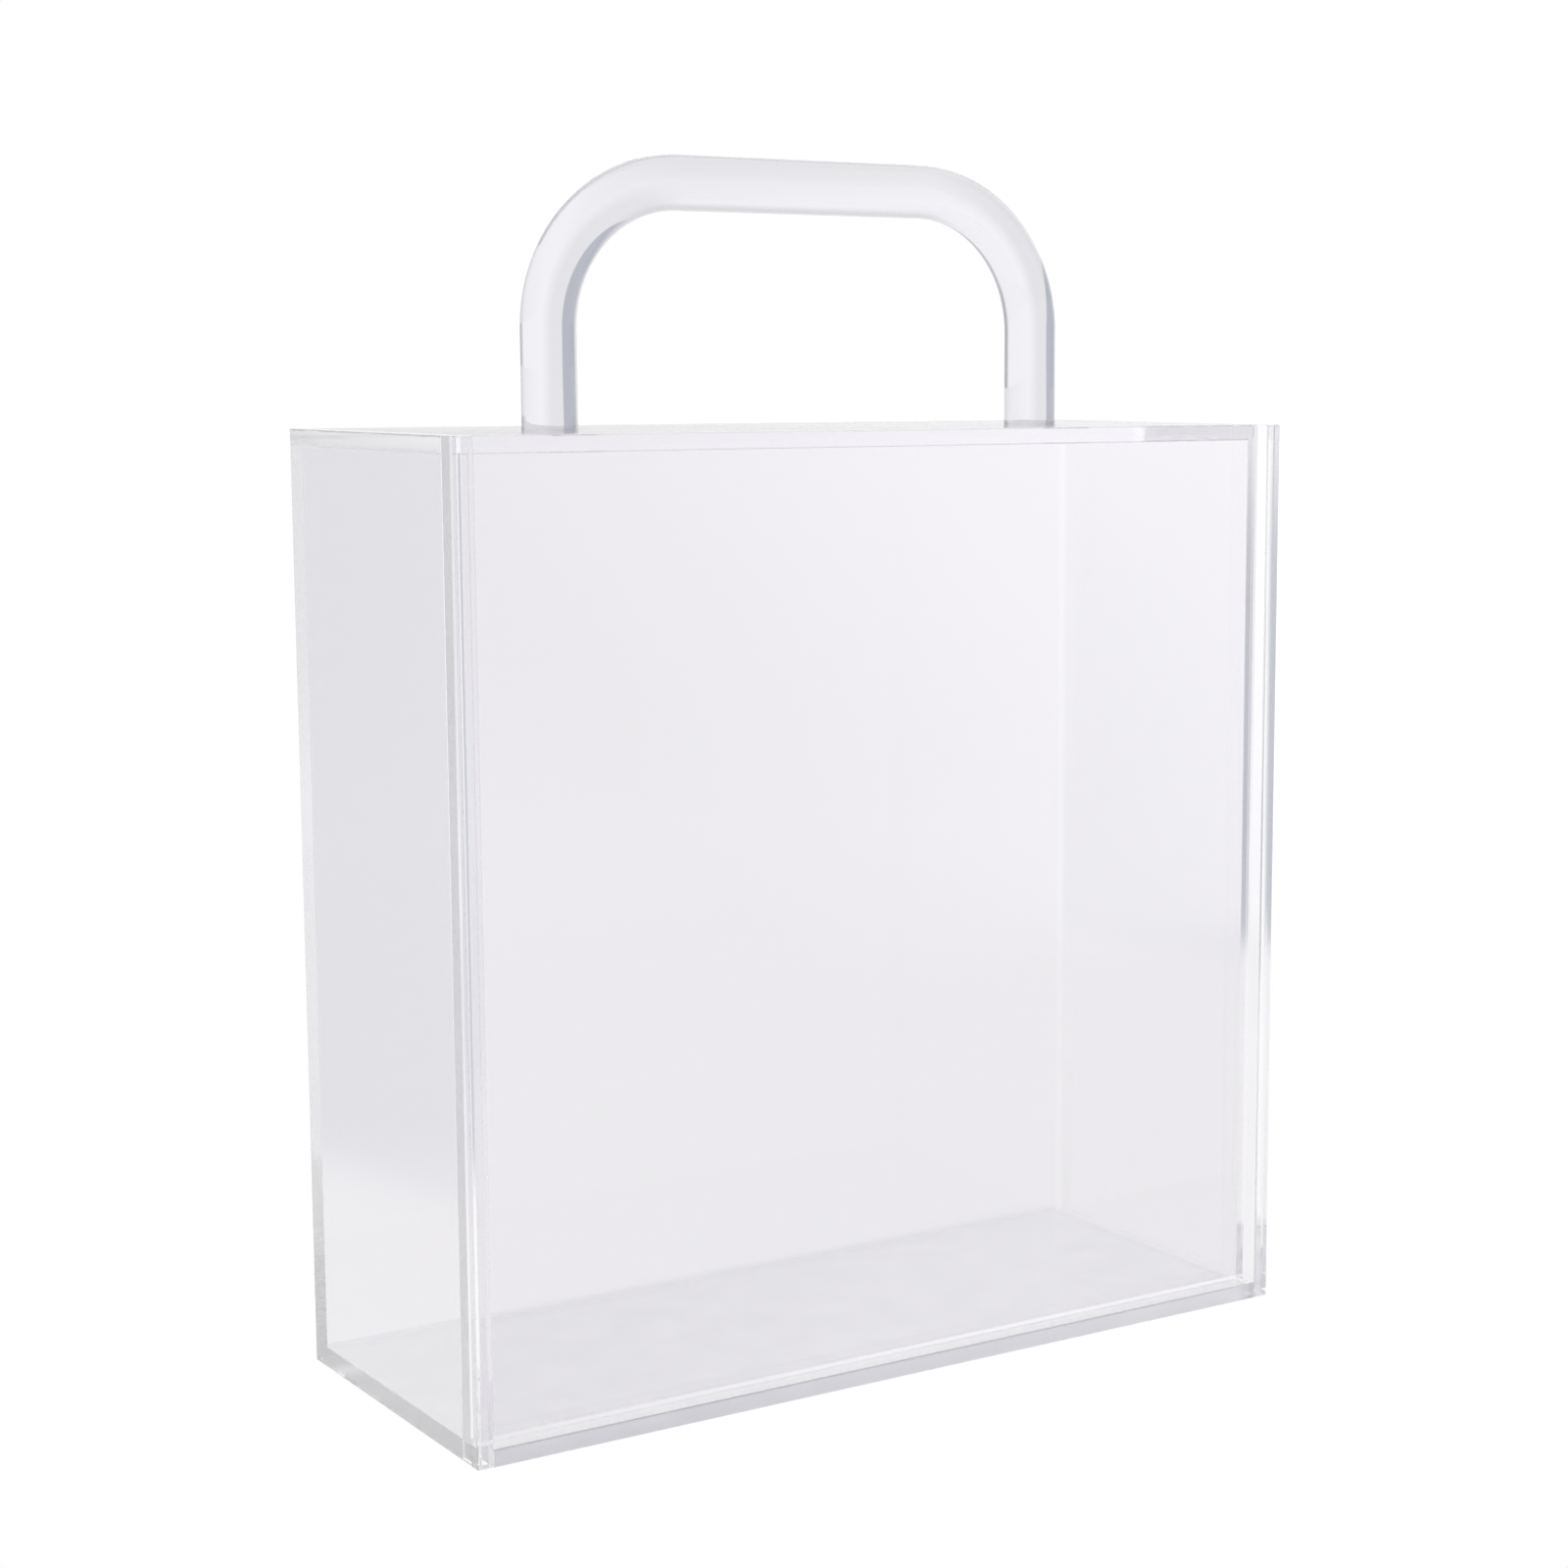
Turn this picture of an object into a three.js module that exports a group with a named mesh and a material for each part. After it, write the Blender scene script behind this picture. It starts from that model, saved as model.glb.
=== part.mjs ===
// Clear acrylic handbag: a slim upright box of polished sheet with a bent rod handle on its top.
// The front panel stands on the base and runs up and out along a groove in each side panel.
// Millimetres, +Z up. The front faces -Y, and the origin is the middle of the underside.
import * as THREE from 'three';

// Driving dimensions of the box
const BOX_WIDTH = 200;
const BOX_DEPTH = 80;
const BOX_HEIGHT = 200;
const SHEET = 3.6; // thickness of the acrylic sheet that every panel is cut from
const JOINT_GAP = 0.1; // film of solvent cement between two fixed pieces

// Driving dimensions of the sliding front
const FRONT_LIP = 4.3; // width of side panel left in front of each groove
const GROOVE_DEPTH = 1.5; // how far a groove is milled into its side panel
const SLIDE_CLEARANCE = 0.2; // play around the front panel, on each of its faces and edges

// Driving dimensions of the handle
const ROD_DIAMETER = 11.6;
const LEG_SPACING = 120.4; // between the centre lines of the two legs
const GRIP_HEIGHT = 50.4; // from the top plate to the centre line of the grip
const BEND_RADIUS = 30; // of the rod's centre line
const ROD_SIDES = 24;
const ROD_STEPS = 48;

// Places that follow from them
const OUTER_X = BOX_WIDTH / 2;
const INNER_X = OUTER_X - SHEET;
const PLATE_X = INNER_X - JOINT_GAP;
const FRONT_Y = -BOX_DEPTH / 2;
const BACK_Y = BOX_DEPTH / 2;
const TOP_UNDERSIDE_Z = BOX_HEIGHT - SHEET;
const GROOVE_FRONT_Y = FRONT_Y + FRONT_LIP;
const SLIDE_FRONT_Y = GROOVE_FRONT_Y + SLIDE_CLEARANCE;
const SLIDE_BACK_Y = SLIDE_FRONT_Y + SHEET;
const GROOVE_BACK_Y = SLIDE_BACK_Y + SLIDE_CLEARANCE;
const SLIDE_X = INNER_X + GROOVE_DEPTH - SLIDE_CLEARANCE;

// Clear cast acrylic with the faint lavender cast of its polished faces.
function clearAcrylic() {
  return new THREE.MeshStandardMaterial({
    color: 0xe9e7f0,
    roughness: 0.05,
    metalness: 0,
    transparent: true,
    opacity: 0.35,
  });
}

function namedMesh(name, geometry) {
  const mesh = new THREE.Mesh(geometry, clearAcrylic());
  mesh.name = name;
  return mesh;
}

// A plain rectangular panel between its lowest and highest corners.
function flatPanel(name, low, high) {
  const size = new THREE.Vector3().subVectors(high, low);
  const panel = namedMesh(name, new THREE.BoxGeometry(size.x, size.y, size.z));
  panel.position.addVectors(low, high).multiplyScalar(0.5);
  return panel;
}

// A full-height side panel, drawn as its section from above. side is -1 for the left one and 1 for the right.
function sidePanel(name, side) {
  const outer = side * OUTER_X;
  const inner = side * INNER_X;
  const grooveFloor = inner + side * GROOVE_DEPTH;
  const section = new THREE.Shape();
  section.moveTo(outer, FRONT_Y);
  section.lineTo(outer, BACK_Y);
  section.lineTo(inner, BACK_Y);
  section.lineTo(inner, GROOVE_BACK_Y);
  section.lineTo(grooveFloor, GROOVE_BACK_Y);
  section.lineTo(grooveFloor, GROOVE_FRONT_Y);
  section.lineTo(inner, GROOVE_FRONT_Y);
  section.lineTo(inner, FRONT_Y);
  section.closePath();
  return namedMesh(name, new THREE.ExtrudeGeometry(section, { depth: BOX_HEIGHT, bevelEnabled: false }));
}

// The rod's centre line: up one leg, round a quarter bend, along the grip, and down again the same way.
class HandleLine extends THREE.Curve {
  constructor(footZ, gripZ) {
    super();
    this.footZ = footZ;
    this.gripZ = gripZ;
    this.legLength = gripZ - BEND_RADIUS - footZ;
    this.bendLength = BEND_RADIUS * Math.PI / 2;
    this.halfGrip = LEG_SPACING / 2 - BEND_RADIUS;
    this.halfLength = this.legLength + this.bendLength + this.halfGrip;
  }

  // A point at a distance along the left half, from the foot to the middle of the grip.
  leftHalf(distance, target) {
    const legX = -LEG_SPACING / 2;
    if (distance < this.legLength) {
      return target.set(legX, 0, this.footZ + distance);
    }
    const pastLeg = distance - this.legLength;
    if (pastLeg < this.bendLength) {
      const turned = pastLeg / BEND_RADIUS;
      const bendX = legX + BEND_RADIUS * (1 - Math.cos(turned));
      return target.set(bendX, 0, this.gripZ - BEND_RADIUS * (1 - Math.sin(turned)));
    }
    return target.set(pastLeg - this.bendLength - this.halfGrip, 0, this.gripZ);
  }

  getPoint(t, target = new THREE.Vector3()) {
    const distance = t * 2 * this.halfLength;
    if (distance <= this.halfLength) {
      return this.leftHalf(distance, target);
    }
    this.leftHalf(2 * this.halfLength - distance, target);
    target.x = -target.x;
    return target;
  }
}

function bentRodHandle(name) {
  const section = new THREE.Shape();
  section.absarc(0, 0, ROD_DIAMETER / 2, 0, 2 * Math.PI);
  const centreLine = new HandleLine(BOX_HEIGHT + JOINT_GAP, BOX_HEIGHT + GRIP_HEIGHT);
  const rod = new THREE.ExtrudeGeometry(section, {
    steps: ROD_STEPS,
    curveSegments: ROD_SIDES / 2, // a full circle gets two sides for each
    extrudePath: centreLine,
  });
  return namedMesh(name, rod);
}

const handbag = new THREE.Group();

handbag.add(sidePanel('side_panel_left', -1));
handbag.add(sidePanel('side_panel_right', 1));

handbag.add(flatPanel(
  'base_plate',
  new THREE.Vector3(-PLATE_X, FRONT_Y, 0),
  new THREE.Vector3(PLATE_X, BACK_Y, SHEET),
));

// The top plate stops behind the front panel's path, so that the panel can be lifted past it.
handbag.add(flatPanel(
  'top_plate',
  new THREE.Vector3(-PLATE_X, GROOVE_BACK_Y, TOP_UNDERSIDE_Z),
  new THREE.Vector3(PLATE_X, BACK_Y, BOX_HEIGHT),
));

handbag.add(flatPanel(
  'back_panel',
  new THREE.Vector3(-PLATE_X, BACK_Y - SHEET, SHEET + JOINT_GAP),
  new THREE.Vector3(PLATE_X, BACK_Y, TOP_UNDERSIDE_Z - JOINT_GAP),
));

handbag.add(flatPanel(
  'front_panel',
  new THREE.Vector3(-SLIDE_X, SLIDE_FRONT_Y, SHEET + SLIDE_CLEARANCE),
  new THREE.Vector3(SLIDE_X, SLIDE_BACK_Y, BOX_HEIGHT),
));

handbag.add(bentRodHandle('handle'));

export default handbag;
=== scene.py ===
# Clear acrylic handbag: welded sheet panels, a front that slides up in two grooves, and a bent rod handle.
import math

import bpy
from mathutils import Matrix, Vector


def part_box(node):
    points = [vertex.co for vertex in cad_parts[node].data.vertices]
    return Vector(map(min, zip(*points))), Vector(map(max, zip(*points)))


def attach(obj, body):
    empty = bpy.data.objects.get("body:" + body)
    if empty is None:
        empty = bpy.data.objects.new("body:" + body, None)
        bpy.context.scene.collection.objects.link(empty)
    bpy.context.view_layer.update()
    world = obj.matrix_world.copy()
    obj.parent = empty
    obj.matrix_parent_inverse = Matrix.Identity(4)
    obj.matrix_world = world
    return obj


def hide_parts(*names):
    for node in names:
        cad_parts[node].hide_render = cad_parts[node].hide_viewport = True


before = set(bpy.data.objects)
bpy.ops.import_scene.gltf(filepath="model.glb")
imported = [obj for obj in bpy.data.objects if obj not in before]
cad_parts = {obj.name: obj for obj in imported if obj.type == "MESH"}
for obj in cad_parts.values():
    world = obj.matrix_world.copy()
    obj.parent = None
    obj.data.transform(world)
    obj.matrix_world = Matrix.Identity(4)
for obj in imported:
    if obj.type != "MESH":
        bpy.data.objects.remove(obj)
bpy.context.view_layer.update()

MM = 0.001

# How the pieces are shaped
EDGE_ROUND = 0.35 * MM  # flame polishing rounds an open edge this much
EDGE_STEPS = 3
ROD_SIDES = 72
BEND_RADIUS = 30 * MM  # of the rod's centre line
BEND_STEPS = 28
FOOT_SINK = 0.02 * MM  # the cemented feet reach this far into the top sheet
SHARP_ANGLE = math.radians(40)  # the rod is smooth, and the rims of its feet stay sharp
MERGE_REACH = 0.001 * MM
TOUCH = 0.01 * MM  # places nearer than this are the same place

# Where the photograph was taken from, found from the six box corners that it shows
IMAGE_SIDE = 1600
FOCAL_PIXELS = 3062
CENTRE_X_PIXEL = 947
CAMERA_AZIMUTH = math.radians(-34.04)
CAMERA_ELEVATION = math.radians(7.95)
CAMERA_DISTANCE = 0.673
CAMERA_TARGET = Vector((0.0326, 0, 0.120))
CAMERA_NEAR = 10 * MM
SENSOR_WIDTH = 36

# The studio all round the bag, in rows of bearing, brightness and colour.
# Bearings are in degrees from straight behind the bag, rising towards its right.
STUDIO_FRONT = 0.9  # brightness in front of the bag, past the first and last rows
STUDIO_BACK = (
    (-35, 0.95, "#FFFFFF"),
    (-26, 0.68, "#F6F8FF"),
    (-20, 0.64, "#F2F6FF"),
    (7, 0.66, "#F0F5FF"),
    (8.5, 1.0, "#FFFFFF"),
    (23, 1.0, "#FFFFFF"),
    (36, 1.16, "#FFFFFF"),
)
WALL = (
    *STUDIO_BACK,
    (78, 1.14, "#FFFFFF"),
    (88, 0.55, "#F8FAFF"),
    (104, 0.55, "#F8FAFF"),
    (122, 0.95, "#FFFFFF"),
)
# How bright the board glows by bearing from BOARD_FOOT: painted light and shade, dim to the left and bright
# behind and to the right, as the studio's light would fall on it
BOARD = (
    *STUDIO_BACK,
    (60, 1.1, "#FFFFFF"),
    (90, 0.98, "#FFFFFF"),
)

# The ceiling takes over from the wall between these two heights, 0 at the horizon and 1 overhead
CEILING_LOW = 0.5
CEILING_HIGH = 0.8
CEILING_GLOW = "#EEEEEE"

# The board is plain white as far as BOARD_CLEAR from its middle, and like the wall past BOARD_GONE
BOARD_MIDDLE = (0.2, -0.1, 0)
BOARD_CLEAR = 0.38
BOARD_GONE = 0.52
BOARD_WHITE = "#FFFFFF"
BOARD_FOOT = (-0.312, -0.9, 0)  # where the board's bearings are taken from
BOARD_SIDE = 80
BOARD_DROP = 0.3 * MM  # keeps the board's face off the underside

LIGHT_BOUNCES = 160


def linear(hex_colour):
    """An sRGB hex colour as linear red, green, blue and alpha."""
    channels = [int(hex_colour[i:i + 2], 16) / 255 for i in (1, 3, 5)]
    return (*[c / 12.92 if c <= 0.04045 else ((c + 0.055) / 1.055) ** 2.4 for c in channels], 1)


# Nodes of the materials and the studio

def bare_tree(owner):
    """The node tree of a material or world, with nothing in it yet."""
    owner.use_nodes = True
    owner.node_tree.nodes.clear()
    return owner.node_tree


def add_node(tree, kind, inputs=None, **settings):
    """A node with its settings. inputs holds numbers, colours or the output sockets to link."""
    node = tree.nodes.new(kind)
    for key, value in settings.items():
        setattr(node, key, value)
    for socket, value in (inputs or {}).items():
        if isinstance(value, bpy.types.NodeSocket):
            tree.links.new(value, node.inputs[socket])
        else:
            node.inputs[socket].default_value = value
    return node


def ramp(tree, value, start, end):
    """Rises smoothly from 0 at start to 1 at end."""
    limits = {"Value": value, "From Min": start, "From Max": end}
    return add_node(tree, "ShaderNodeMapRange", limits, interpolation_type="SMOOTHSTEP").outputs[0]


def blend_colour(tree, share, first, second):
    """The first colour where share is 0, the second where it is 1."""
    mix = add_node(tree, "ShaderNodeMix", {0: share, 6: first, 7: second}, data_type="RGBA")
    return mix.outputs[2]


def studio_glow(tree, across, away, glow_by_bearing):
    """Brightness and colour of the studio in a direction, from rows such as WALL."""
    bearing = add_node(tree, "ShaderNodeMath", {0: across, 1: away}, operation="ARCTAN2").outputs[0]
    turn = add_node(tree, "ShaderNodeMapRange", {"Value": bearing, "From Min": -math.pi, "From Max": math.pi})
    stops = add_node(tree, "ShaderNodeValToRGB", {"Fac": turn.outputs[0]})
    elements = stops.color_ramp.elements
    for end in elements:
        end.color = (STUDIO_FRONT, STUDIO_FRONT, STUDIO_FRONT, 1)
    for degrees, level, colour in glow_by_bearing:
        elements.new((degrees + 180) / 360).color = [level * channel for channel in linear(colour)]
    return stops.outputs["Color"]


# Finishes of the acrylic

SHEET_TINT = "#F5F4F6"
ACRYLIC_IOR = 1.49
FACE_WEAR = 40 * MM  # size of the patches that wear leaves on a face
EDGE_WEAR = 9 * MM  # and on an edge
WEAR_SPREAD = 0.3  # how far the patches differ from the mean haze
WEAR_DETAIL = 2.0


def clear_acrylic(name, tint, haze, wear_size, ior=ACRYLIC_IOR, seen=1.0):
    """Clear acrylic with a faint lavender cast. Wear clouds its gloss in soft patches."""
    material = bpy.data.materials.new(name)
    tree = bare_tree(material)
    place = add_node(tree, "ShaderNodeTexCoord").outputs["Object"]
    wear = add_node(tree, "ShaderNodeTexNoise", {
        "Vector": place,
        "Scale": 1 / wear_size,
        "Detail": WEAR_DETAIL,
    })
    cloud = add_node(tree, "ShaderNodeMapRange", {
        "Value": wear.outputs["Fac"],
        "To Min": (1 - WEAR_SPREAD) * haze,
        "To Max": (1 + WEAR_SPREAD) * haze,
    })
    surface = add_node(tree, "ShaderNodeBsdfPrincipled", {
        "Base Color": linear(tint),
        "Roughness": cloud.outputs[0],
        "IOR": ior,
        "Transmission Weight": 1.0,
        "Alpha": seen,
    })
    add_node(tree, "ShaderNodeOutputMaterial", {"Surface": surface.outputs["BSDF"]})
    return material


# Cast sheet: a clear, glossy face with a trace of haze
FACE = clear_acrylic("clear_cast_acrylic_sheet", SHEET_TINT, haze=0.03, wear_size=FACE_WEAR)
# Rubbed by sliding: what shows through it is a little softer
RUBBED_FACE = clear_acrylic("rubbed_clear_acrylic_sheet", SHEET_TINT, haze=0.07, wear_size=FACE_WEAR)
# Greyer: painted shade, for the shade under the bag seen through the base. Softer: scuffed by what the bag
# holds
SCUFFED_FACE_PAINTED_SHADE = clear_acrylic("scuffed_acrylic_sheet_painted_shade", "#E8E7EB", haze=0.06, wear_size=FACE_WEAR)
# Scuffed by what the bag stands on: it scatters light, so the base and its front edge are evenly pale
SCUFFED_UNDERSIDE = clear_acrylic("scuffed_acrylic_underside", "#FFFFFF", haze=0.2, wear_size=12 * MM)
# Polished by a flame: thin bright lines along the box's edges
POLISHED_EDGE = clear_acrylic("flame_polished_acrylic_edge", "#FDFDFE", haze=0.06, wear_size=EDGE_WEAR)
# Nearly as bright as a polished edge, with a touch of grey: painted shade that dims the bright line along the
# top sheet's edges
GREYED_EDGE_PAINTED_SHADE = clear_acrylic("acrylic_edge_painted_shade", "#F4F3F7", haze=0.06, wear_size=EDGE_WEAR)
# As the saw left it: a dull strip. Its pale grey tint is painted shade, darkening the strip along the foot of
# the box
SAWN_EDGE_PAINTED_SHADE = clear_acrylic("saw_cut_acrylic_edge_painted_shade", "#E4E3EA", haze=0.4, wear_size=EDGE_WEAR)
# Close against the next piece: hardly any reflection
SNUG_END = clear_acrylic("snug_acrylic_end", "#FFFFFF", haze=0.02, wear_size=EDGE_WEAR, ior=1.05)
# Worn by hands: a soft, milky sheen
HAND_WORN_FACE = clear_acrylic("hand_worn_clear_acrylic_sheet", SHEET_TINT, haze=0.2, wear_size=FACE_WEAR)
# Two faces that solvent has run into one: nothing of the joint shows
WELD = clear_acrylic("solvent_weld", "#FFFFFF", haze=0.0, wear_size=EDGE_WEAR, seen=0.0)
# Extruded rod: a clear round lens with grey strips along its sides
ROD = clear_acrylic("clear_extruded_acrylic_rod", "#E4E3E7", haze=0.01, wear_size=25 * MM)


# Modelling helpers

def start_fresh():
    """Nothing selected and object mode, before a new piece."""
    if bpy.context.mode != "OBJECT":
        bpy.ops.object.mode_set(mode="OBJECT")
    bpy.ops.object.select_all(action="DESELECT")


def take_up(piece):
    """Selects one piece alone, to work on it."""
    start_fresh()
    bpy.context.view_layer.objects.active = piece
    piece.select_set(True)


def name_piece(piece, name):
    """Gives a piece and its mesh the same name."""
    piece.name = name
    piece.data.name = name


def cut_sheet(name, low, high):
    """A rectangular piece of sheet between two corners, its place kept in its mesh."""
    start_fresh()
    low, high = Vector(low), Vector(high)
    bpy.ops.mesh.primitive_cube_add(size=1, location=(low + high) / 2, scale=high - low)
    bpy.ops.object.transform_apply(location=True, rotation=False, scale=True)
    piece = bpy.context.object
    name_piece(piece, name)
    return piece


def mill_groove(piece, low, high):
    """Mills the space between two corners out of a piece."""
    cutter = cut_sheet("groove_cutter", low, high)
    take_up(piece)
    groove = piece.modifiers.new("groove", "BOOLEAN")
    groove.operation = "DIFFERENCE"
    groove.solver = "EXACT"
    groove.object = cutter
    bpy.ops.object.modifier_apply(modifier=groove.name)
    bpy.data.objects.remove(cutter)


def polish_edges(piece, on_rim):
    """Rounds the edges for whose middle on_rim is true, as flame polishing does."""
    take_up(piece)
    bpy.context.tool_settings.mesh_select_mode = (False, True, False)
    mesh = piece.data
    for element in (*mesh.vertices, *mesh.polygons):
        element.select = False
    for edge in mesh.edges:
        start, end = (mesh.vertices[i].co for i in edge.vertices)
        edge.select = on_rim((start + end) / 2)
    bpy.ops.object.mode_set(mode="EDIT")
    bpy.ops.mesh.bevel(offset=EDGE_ROUND, segments=EDGE_STEPS, affect="EDGES")
    bpy.ops.object.mode_set(mode="OBJECT")


def score(piece, place, normal):
    """Cuts a line round a piece in a plane, so that the strip beside it can have its own finish."""
    take_up(piece)
    bpy.ops.object.mode_set(mode="EDIT")
    bpy.ops.mesh.select_all(action="SELECT")
    bpy.ops.mesh.bisect(plane_co=place, plane_no=normal)
    bpy.ops.object.mode_set(mode="OBJECT")


def finish_sheet(piece, body, node, face, finishes):
    """Gives a sheet its faces. Each of the finishes is a material and a test for the middle of a face."""
    for material in (face, *(material for material, _ in finishes)):
        piece.data.materials.append(material)
    for polygon in piece.data.polygons:
        hits = [slot for slot, (_, test) in enumerate(finishes, 1) if test(polygon.center)]
        polygon.material_index = hits[0] if hits else 0
    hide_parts(node)
    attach(piece, body)


def near(value, target, reach=TOUCH):
    """Whether a place along an axis is within reach of another."""
    return abs(value - target) < reach


def corners(node):
    """Lowest and highest corner of a solid in the frame."""
    low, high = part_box(node)
    return Vector(low), Vector(high)


# Places on the box, from the frame

SIDE_LOW, SIDE_HIGH = corners("side_panel_left")
FRONT_LOW, FRONT_HIGH = corners("front_panel")
TOP_LOW, TOP_HIGH = corners("top_plate")
FRONT_Y = SIDE_LOW.y
BACK_Y = SIDE_HIGH.y
BOX_TOP = SIDE_HIGH.z
OUTER_X = -SIDE_LOW.x
INNER_X = -SIDE_HIGH.x
SHEET = OUTER_X - INNER_X
SLIDE_CLEARANCE = TOP_LOW.y - FRONT_HIGH.y
GROOVE_FLOOR_X = FRONT_HIGH.x + SLIDE_CLEARANCE


# The box

def score_back_weld(piece):
    """Marks off the strip of a sheet that the back sheet is welded to."""
    score(piece, (0, BACK_Y - SHEET, 0), (0, 1, 0))


def side_sheet(name, side, node):
    """A full-height side with its groove. side is -1 for the left one and 1 for the right."""
    sheet_xs = sorted((side * OUTER_X, side * INNER_X))
    groove_xs = sorted((side * (INNER_X - SHEET), side * GROOVE_FLOOR_X))
    piece = cut_sheet(name, (sheet_xs[0], FRONT_Y, 0), (sheet_xs[1], BACK_Y, BOX_TOP))
    mill_groove(
        piece,
        (groove_xs[0], FRONT_LOW.y - SLIDE_CLEARANCE, -SHEET),
        (groove_xs[1], FRONT_HIGH.y + SLIDE_CLEARANCE, BOX_TOP + SHEET),
    )

    def on_rim(middle):
        return near(abs(middle.x), OUTER_X) or near(middle.y, FRONT_Y)

    def welded(middle):
        to_base = middle.z < SHEET
        to_top = middle.z > BOX_TOP - SHEET and middle.y > TOP_LOW.y
        to_back = middle.y > BACK_Y - SHEET
        return near(abs(middle.x), INNER_X) and (to_base or to_top or to_back)

    def groove_floor(middle):
        return near(abs(middle.x), GROOVE_FLOOR_X)

    def open_edge(middle):
        at_end = near(middle.z, 0, EDGE_ROUND) or near(middle.z, BOX_TOP, EDGE_ROUND)
        return at_end or near(middle.y, FRONT_Y, EDGE_ROUND) or near(middle.y, BACK_Y, EDGE_ROUND)

    polish_edges(piece, on_rim)
    score(piece, (0, 0, SHEET), (0, 0, 1))
    score(piece, (0, 0, BOX_TOP - SHEET), (0, 0, 1))
    score_back_weld(piece)
    finish_sheet(
        piece, "box", node, FACE,
        [(WELD, welded), (SNUG_END, groove_floor), (POLISHED_EDGE, open_edge)],
    )


def base_sheet():
    """The floor between the sides. Its front edge is open below the sliding front."""
    low, high = corners("base_plate")
    piece = cut_sheet("base_sheet", (-INNER_X, low.y, low.z), (INNER_X, high.y, high.z))

    def on_rim(middle):
        return near(middle.x, 0) and (near(middle.y, FRONT_Y) or near(middle.z, 0))

    def welded(middle):
        to_back = near(middle.z, SHEET) and middle.y > BACK_Y - SHEET
        return near(abs(middle.x), INNER_X) or to_back

    def underside(middle):
        return near(middle.z, 0)

    def open_edge(middle):
        return near(abs(middle.y), BACK_Y, EDGE_ROUND)

    polish_edges(piece, on_rim)
    score_back_weld(piece)
    # The grey of the base's faces and of its sawn edges is painted shade
    finish_sheet(
        piece, "box", "base_plate", SCUFFED_FACE_PAINTED_SHADE,
        [(WELD, welded), (SCUFFED_UNDERSIDE, underside), (SAWN_EDGE_PAINTED_SHADE, open_edge)],
    )


def top_sheet():
    """The roof between the sides, which carries the handle. It stops behind the sliding front's path."""
    piece = cut_sheet("top_sheet", (-INNER_X, TOP_LOW.y, TOP_LOW.z), (INNER_X, TOP_HIGH.y, TOP_HIGH.z))

    def on_rim(middle):
        return near(middle.x, 0) and (near(middle.y, TOP_LOW.y) or near(middle.z, BOX_TOP))

    def welded(middle):
        to_back = near(middle.z, TOP_LOW.z) and middle.y > BACK_Y - SHEET
        return near(abs(middle.x), INNER_X) or to_back

    def upper(middle):
        return near(middle.z, BOX_TOP)

    def open_edge(middle):
        return near(middle.y, TOP_LOW.y, EDGE_ROUND) or near(middle.y, BACK_Y, EDGE_ROUND)

    polish_edges(piece, on_rim)
    score_back_weld(piece)
    # The grey of the top sheet's open edges is painted shade
    finish_sheet(
        piece, "box", "top_plate", FACE,
        [(WELD, welded), (HAND_WORN_FACE, upper), (GREYED_EDGE_PAINTED_SHADE, open_edge)],
    )


def back_sheet():
    """The fixed back, welded to the sides, the base and the top."""
    low, high = corners("back_panel")
    piece = cut_sheet("back_sheet", (-INNER_X, low.y, SHEET), (INNER_X, high.y, BOX_TOP - SHEET))

    def welded(middle):
        return near(abs(middle.x), INNER_X) or near(middle.z, SHEET) or near(middle.z, BOX_TOP - SHEET)

    finish_sheet(piece, "box", "back_panel", FACE, [(WELD, welded)])


def sliding_front():
    """The front sheet, free in its grooves. Sliding has rubbed its two faces."""
    piece = cut_sheet("sliding_front", FRONT_LOW, FRONT_HIGH)

    def on_rim(middle):
        return near(middle.z, FRONT_HIGH.z)

    def in_groove(middle):
        return near(abs(middle.x), FRONT_HIGH.x)

    def open_edge(middle):
        return not (near(middle.y, FRONT_LOW.y) or near(middle.y, FRONT_HIGH.y))

    polish_edges(piece, on_rim)
    finish_sheet(
        piece, "front", "front_panel", RUBBED_FACE,
        [(SNUG_END, in_groove), (POLISHED_EDGE, open_edge)],
    )


# The handle

def draw_rod(across, up):
    """Draws the rod on from its open end, in a straight line."""
    bpy.ops.mesh.extrude_region_move(TRANSFORM_OT_translate={"value": (across, 0, up)})


def bend_rod(centre_x, centre_z):
    """Carries the rod on from its open end, round a quarter bend to the right."""
    centre = (centre_x, 0, centre_z)
    bpy.ops.mesh.spin(steps=BEND_STEPS, angle=math.pi / 2, center=centre, axis=(0, -1, 0))


def close_rod():
    """Joins the rod's rings, caps its two feet and turns its faces outwards."""
    bpy.ops.mesh.select_all(action="SELECT")
    bpy.ops.mesh.remove_doubles(threshold=MERGE_REACH)
    bpy.ops.mesh.select_all(action="DESELECT")
    bpy.ops.mesh.select_non_manifold()
    bpy.ops.mesh.fill_holes(sides=ROD_SIDES)
    bpy.ops.mesh.select_all(action="SELECT")
    bpy.ops.mesh.normals_make_consistent(inside=False)


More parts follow.
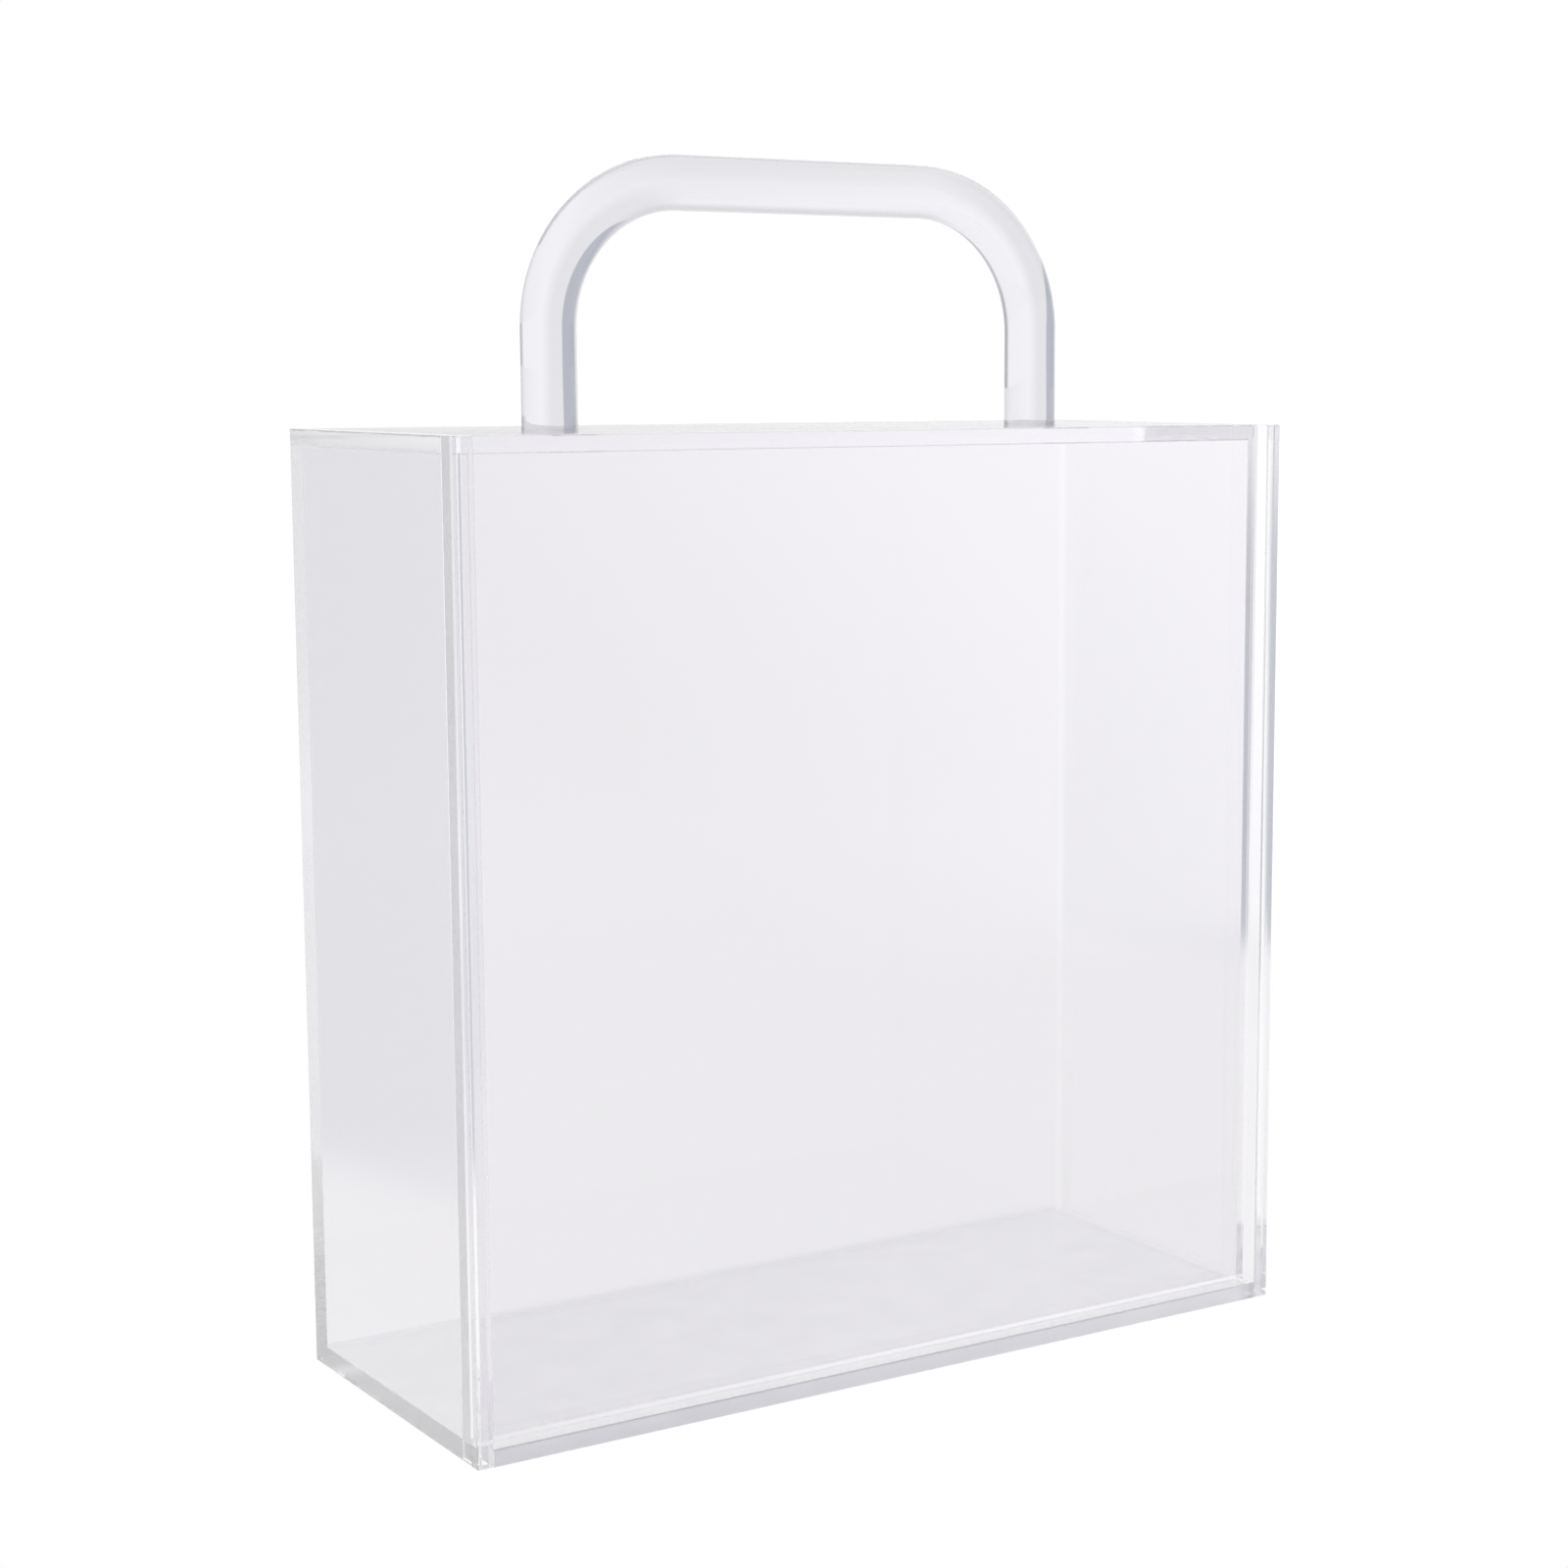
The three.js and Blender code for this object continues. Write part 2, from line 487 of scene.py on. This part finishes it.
def bent_rod_handle():
    """One rod, from the left foot up, over the grip and down to the right foot."""
    low, high = corners("handle")
    radius = (high.y - low.y) / 2
    leg_x = high.x - radius
    bend_x = leg_x - BEND_RADIUS
    bend_z = high.z - radius - BEND_RADIUS
    foot_z = BOX_TOP - FOOT_SINK
    start_fresh()
    bpy.ops.mesh.primitive_circle_add(vertices=ROD_SIDES, radius=radius, location=(-leg_x, 0, foot_z))
    bpy.ops.object.transform_apply(location=True, rotation=False, scale=True)
    piece = bpy.context.object
    name_piece(piece, "bent_rod_handle")
    bpy.ops.object.mode_set(mode="EDIT")
    bpy.ops.mesh.select_all(action="SELECT")
    draw_rod(0, bend_z - foot_z)
    bend_rod(-bend_x, bend_z)
    draw_rod(2 * bend_x, 0)
    bend_rod(bend_x, bend_z)
    draw_rod(0, foot_z - bend_z)
    close_rod()
    bpy.ops.object.mode_set(mode="OBJECT")
    bpy.ops.object.shade_smooth_by_angle(angle=SHARP_ANGLE)
    piece.data.materials.append(ROD)
    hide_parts("handle")
    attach(piece, "box")


# The studio

def glowing_board_painted_light(name):
    """White board that glows, painted light that leaves no shadow under anything. Far off its glow follows
    the wall by bearing: painted light and shade.
    """
    material = bpy.data.materials.new(name)
    tree = bare_tree(material)
    place = add_node(tree, "ShaderNodeTexCoord").outputs["Object"]
    from_foot = add_node(tree, "ShaderNodeVectorMath", {0: place, 1: BOARD_FOOT}, operation="SUBTRACT")
    axes = add_node(tree, "ShaderNodeSeparateXYZ", {0: from_foot.outputs["Vector"]}).outputs
    # Painted light and shade: the board's glow by bearing, like the studio's light falling on it
    painted_falloff = studio_glow(tree, axes["X"], axes["Y"], BOARD)
    reach = add_node(tree, "ShaderNodeVectorMath", {0: place, 1: BOARD_MIDDLE}, operation="DISTANCE")
    by_bag = ramp(tree, reach.outputs["Value"], BOARD_GONE, BOARD_CLEAR)
    colour = blend_colour(tree, by_bag, painted_falloff, linear(BOARD_WHITE))
    glow = add_node(tree, "ShaderNodeEmission", {"Color": colour, "Strength": 1.0})
    add_node(tree, "ShaderNodeOutputMaterial", {"Surface": glow.outputs[0]})
    return material


def lay_board():
    """The board that the bag stands on, wide enough to reach the horizon."""
    start_fresh()
    bpy.ops.mesh.primitive_plane_add(size=BOARD_SIDE, location=(0, 0, -BOARD_DROP))
    floor = bpy.context.object
    floor.name = "floor"
    floor.data.materials.append(glowing_board_painted_light("white_board_painted_glow"))


def light_studio():
    """A white wall of light behind and to the right of the bag and a pale ceiling, in a dimmer room."""
    world = bpy.data.worlds.new("studio")
    bpy.context.scene.world = world
    tree = bare_tree(world)
    ray = add_node(tree, "ShaderNodeTexCoord").outputs["Generated"]
    axes = add_node(tree, "ShaderNodeSeparateXYZ", {0: ray}).outputs
    wall = studio_glow(tree, axes["X"], axes["Y"], WALL)
    overhead = ramp(tree, axes["Z"], CEILING_LOW, CEILING_HIGH)
    colour = blend_colour(tree, overhead, wall, linear(CEILING_GLOW))
    glow = add_node(tree, "ShaderNodeBackground", {"Color": colour, "Strength": 1.0})
    add_node(tree, "ShaderNodeOutputWorld", {"Surface": glow.outputs[0]})


def place_camera():
    """The photograph's own point of view, to the left of the front."""
    camera = bpy.data.cameras.new("camera")
    camera.sensor_width = SENSOR_WIDTH
    camera.lens = FOCAL_PIXELS / IMAGE_SIDE * SENSOR_WIDTH
    camera.shift_x = (IMAGE_SIDE / 2 - CENTRE_X_PIXEL) / IMAGE_SIDE
    camera.clip_start = CAMERA_NEAR
    back = Vector((
        math.sin(CAMERA_AZIMUTH) * math.cos(CAMERA_ELEVATION),
        -math.cos(CAMERA_AZIMUTH) * math.cos(CAMERA_ELEVATION),
        math.sin(CAMERA_ELEVATION),
    ))
    holder = bpy.data.objects.new("camera", camera)
    holder.location = CAMERA_TARGET + back * CAMERA_DISTANCE
    holder.rotation_euler = back.to_track_quat("Z", "Y").to_euler()
    bpy.context.scene.collection.objects.link(holder)
    bpy.context.scene.camera = holder


def set_light_paths():
    """Light crosses many faces of clear sheet before it leaves an edge, so its paths are long."""
    scene = bpy.context.scene
    scene.view_settings.view_transform = "Standard"
    scene.cycles.max_bounces = LIGHT_BOUNCES
    scene.cycles.glossy_bounces = LIGHT_BOUNCES
    scene.cycles.transmission_bounces = LIGHT_BOUNCES
    scene.cycles.transparent_max_bounces = LIGHT_BOUNCES


side_sheet("side_sheet_left", -1, "side_panel_left")
side_sheet("side_sheet_right", 1, "side_panel_right")
base_sheet()
top_sheet()
back_sheet()
sliding_front()
bent_rod_handle()

lay_board()
light_studio()
place_camera()
set_light_paths()
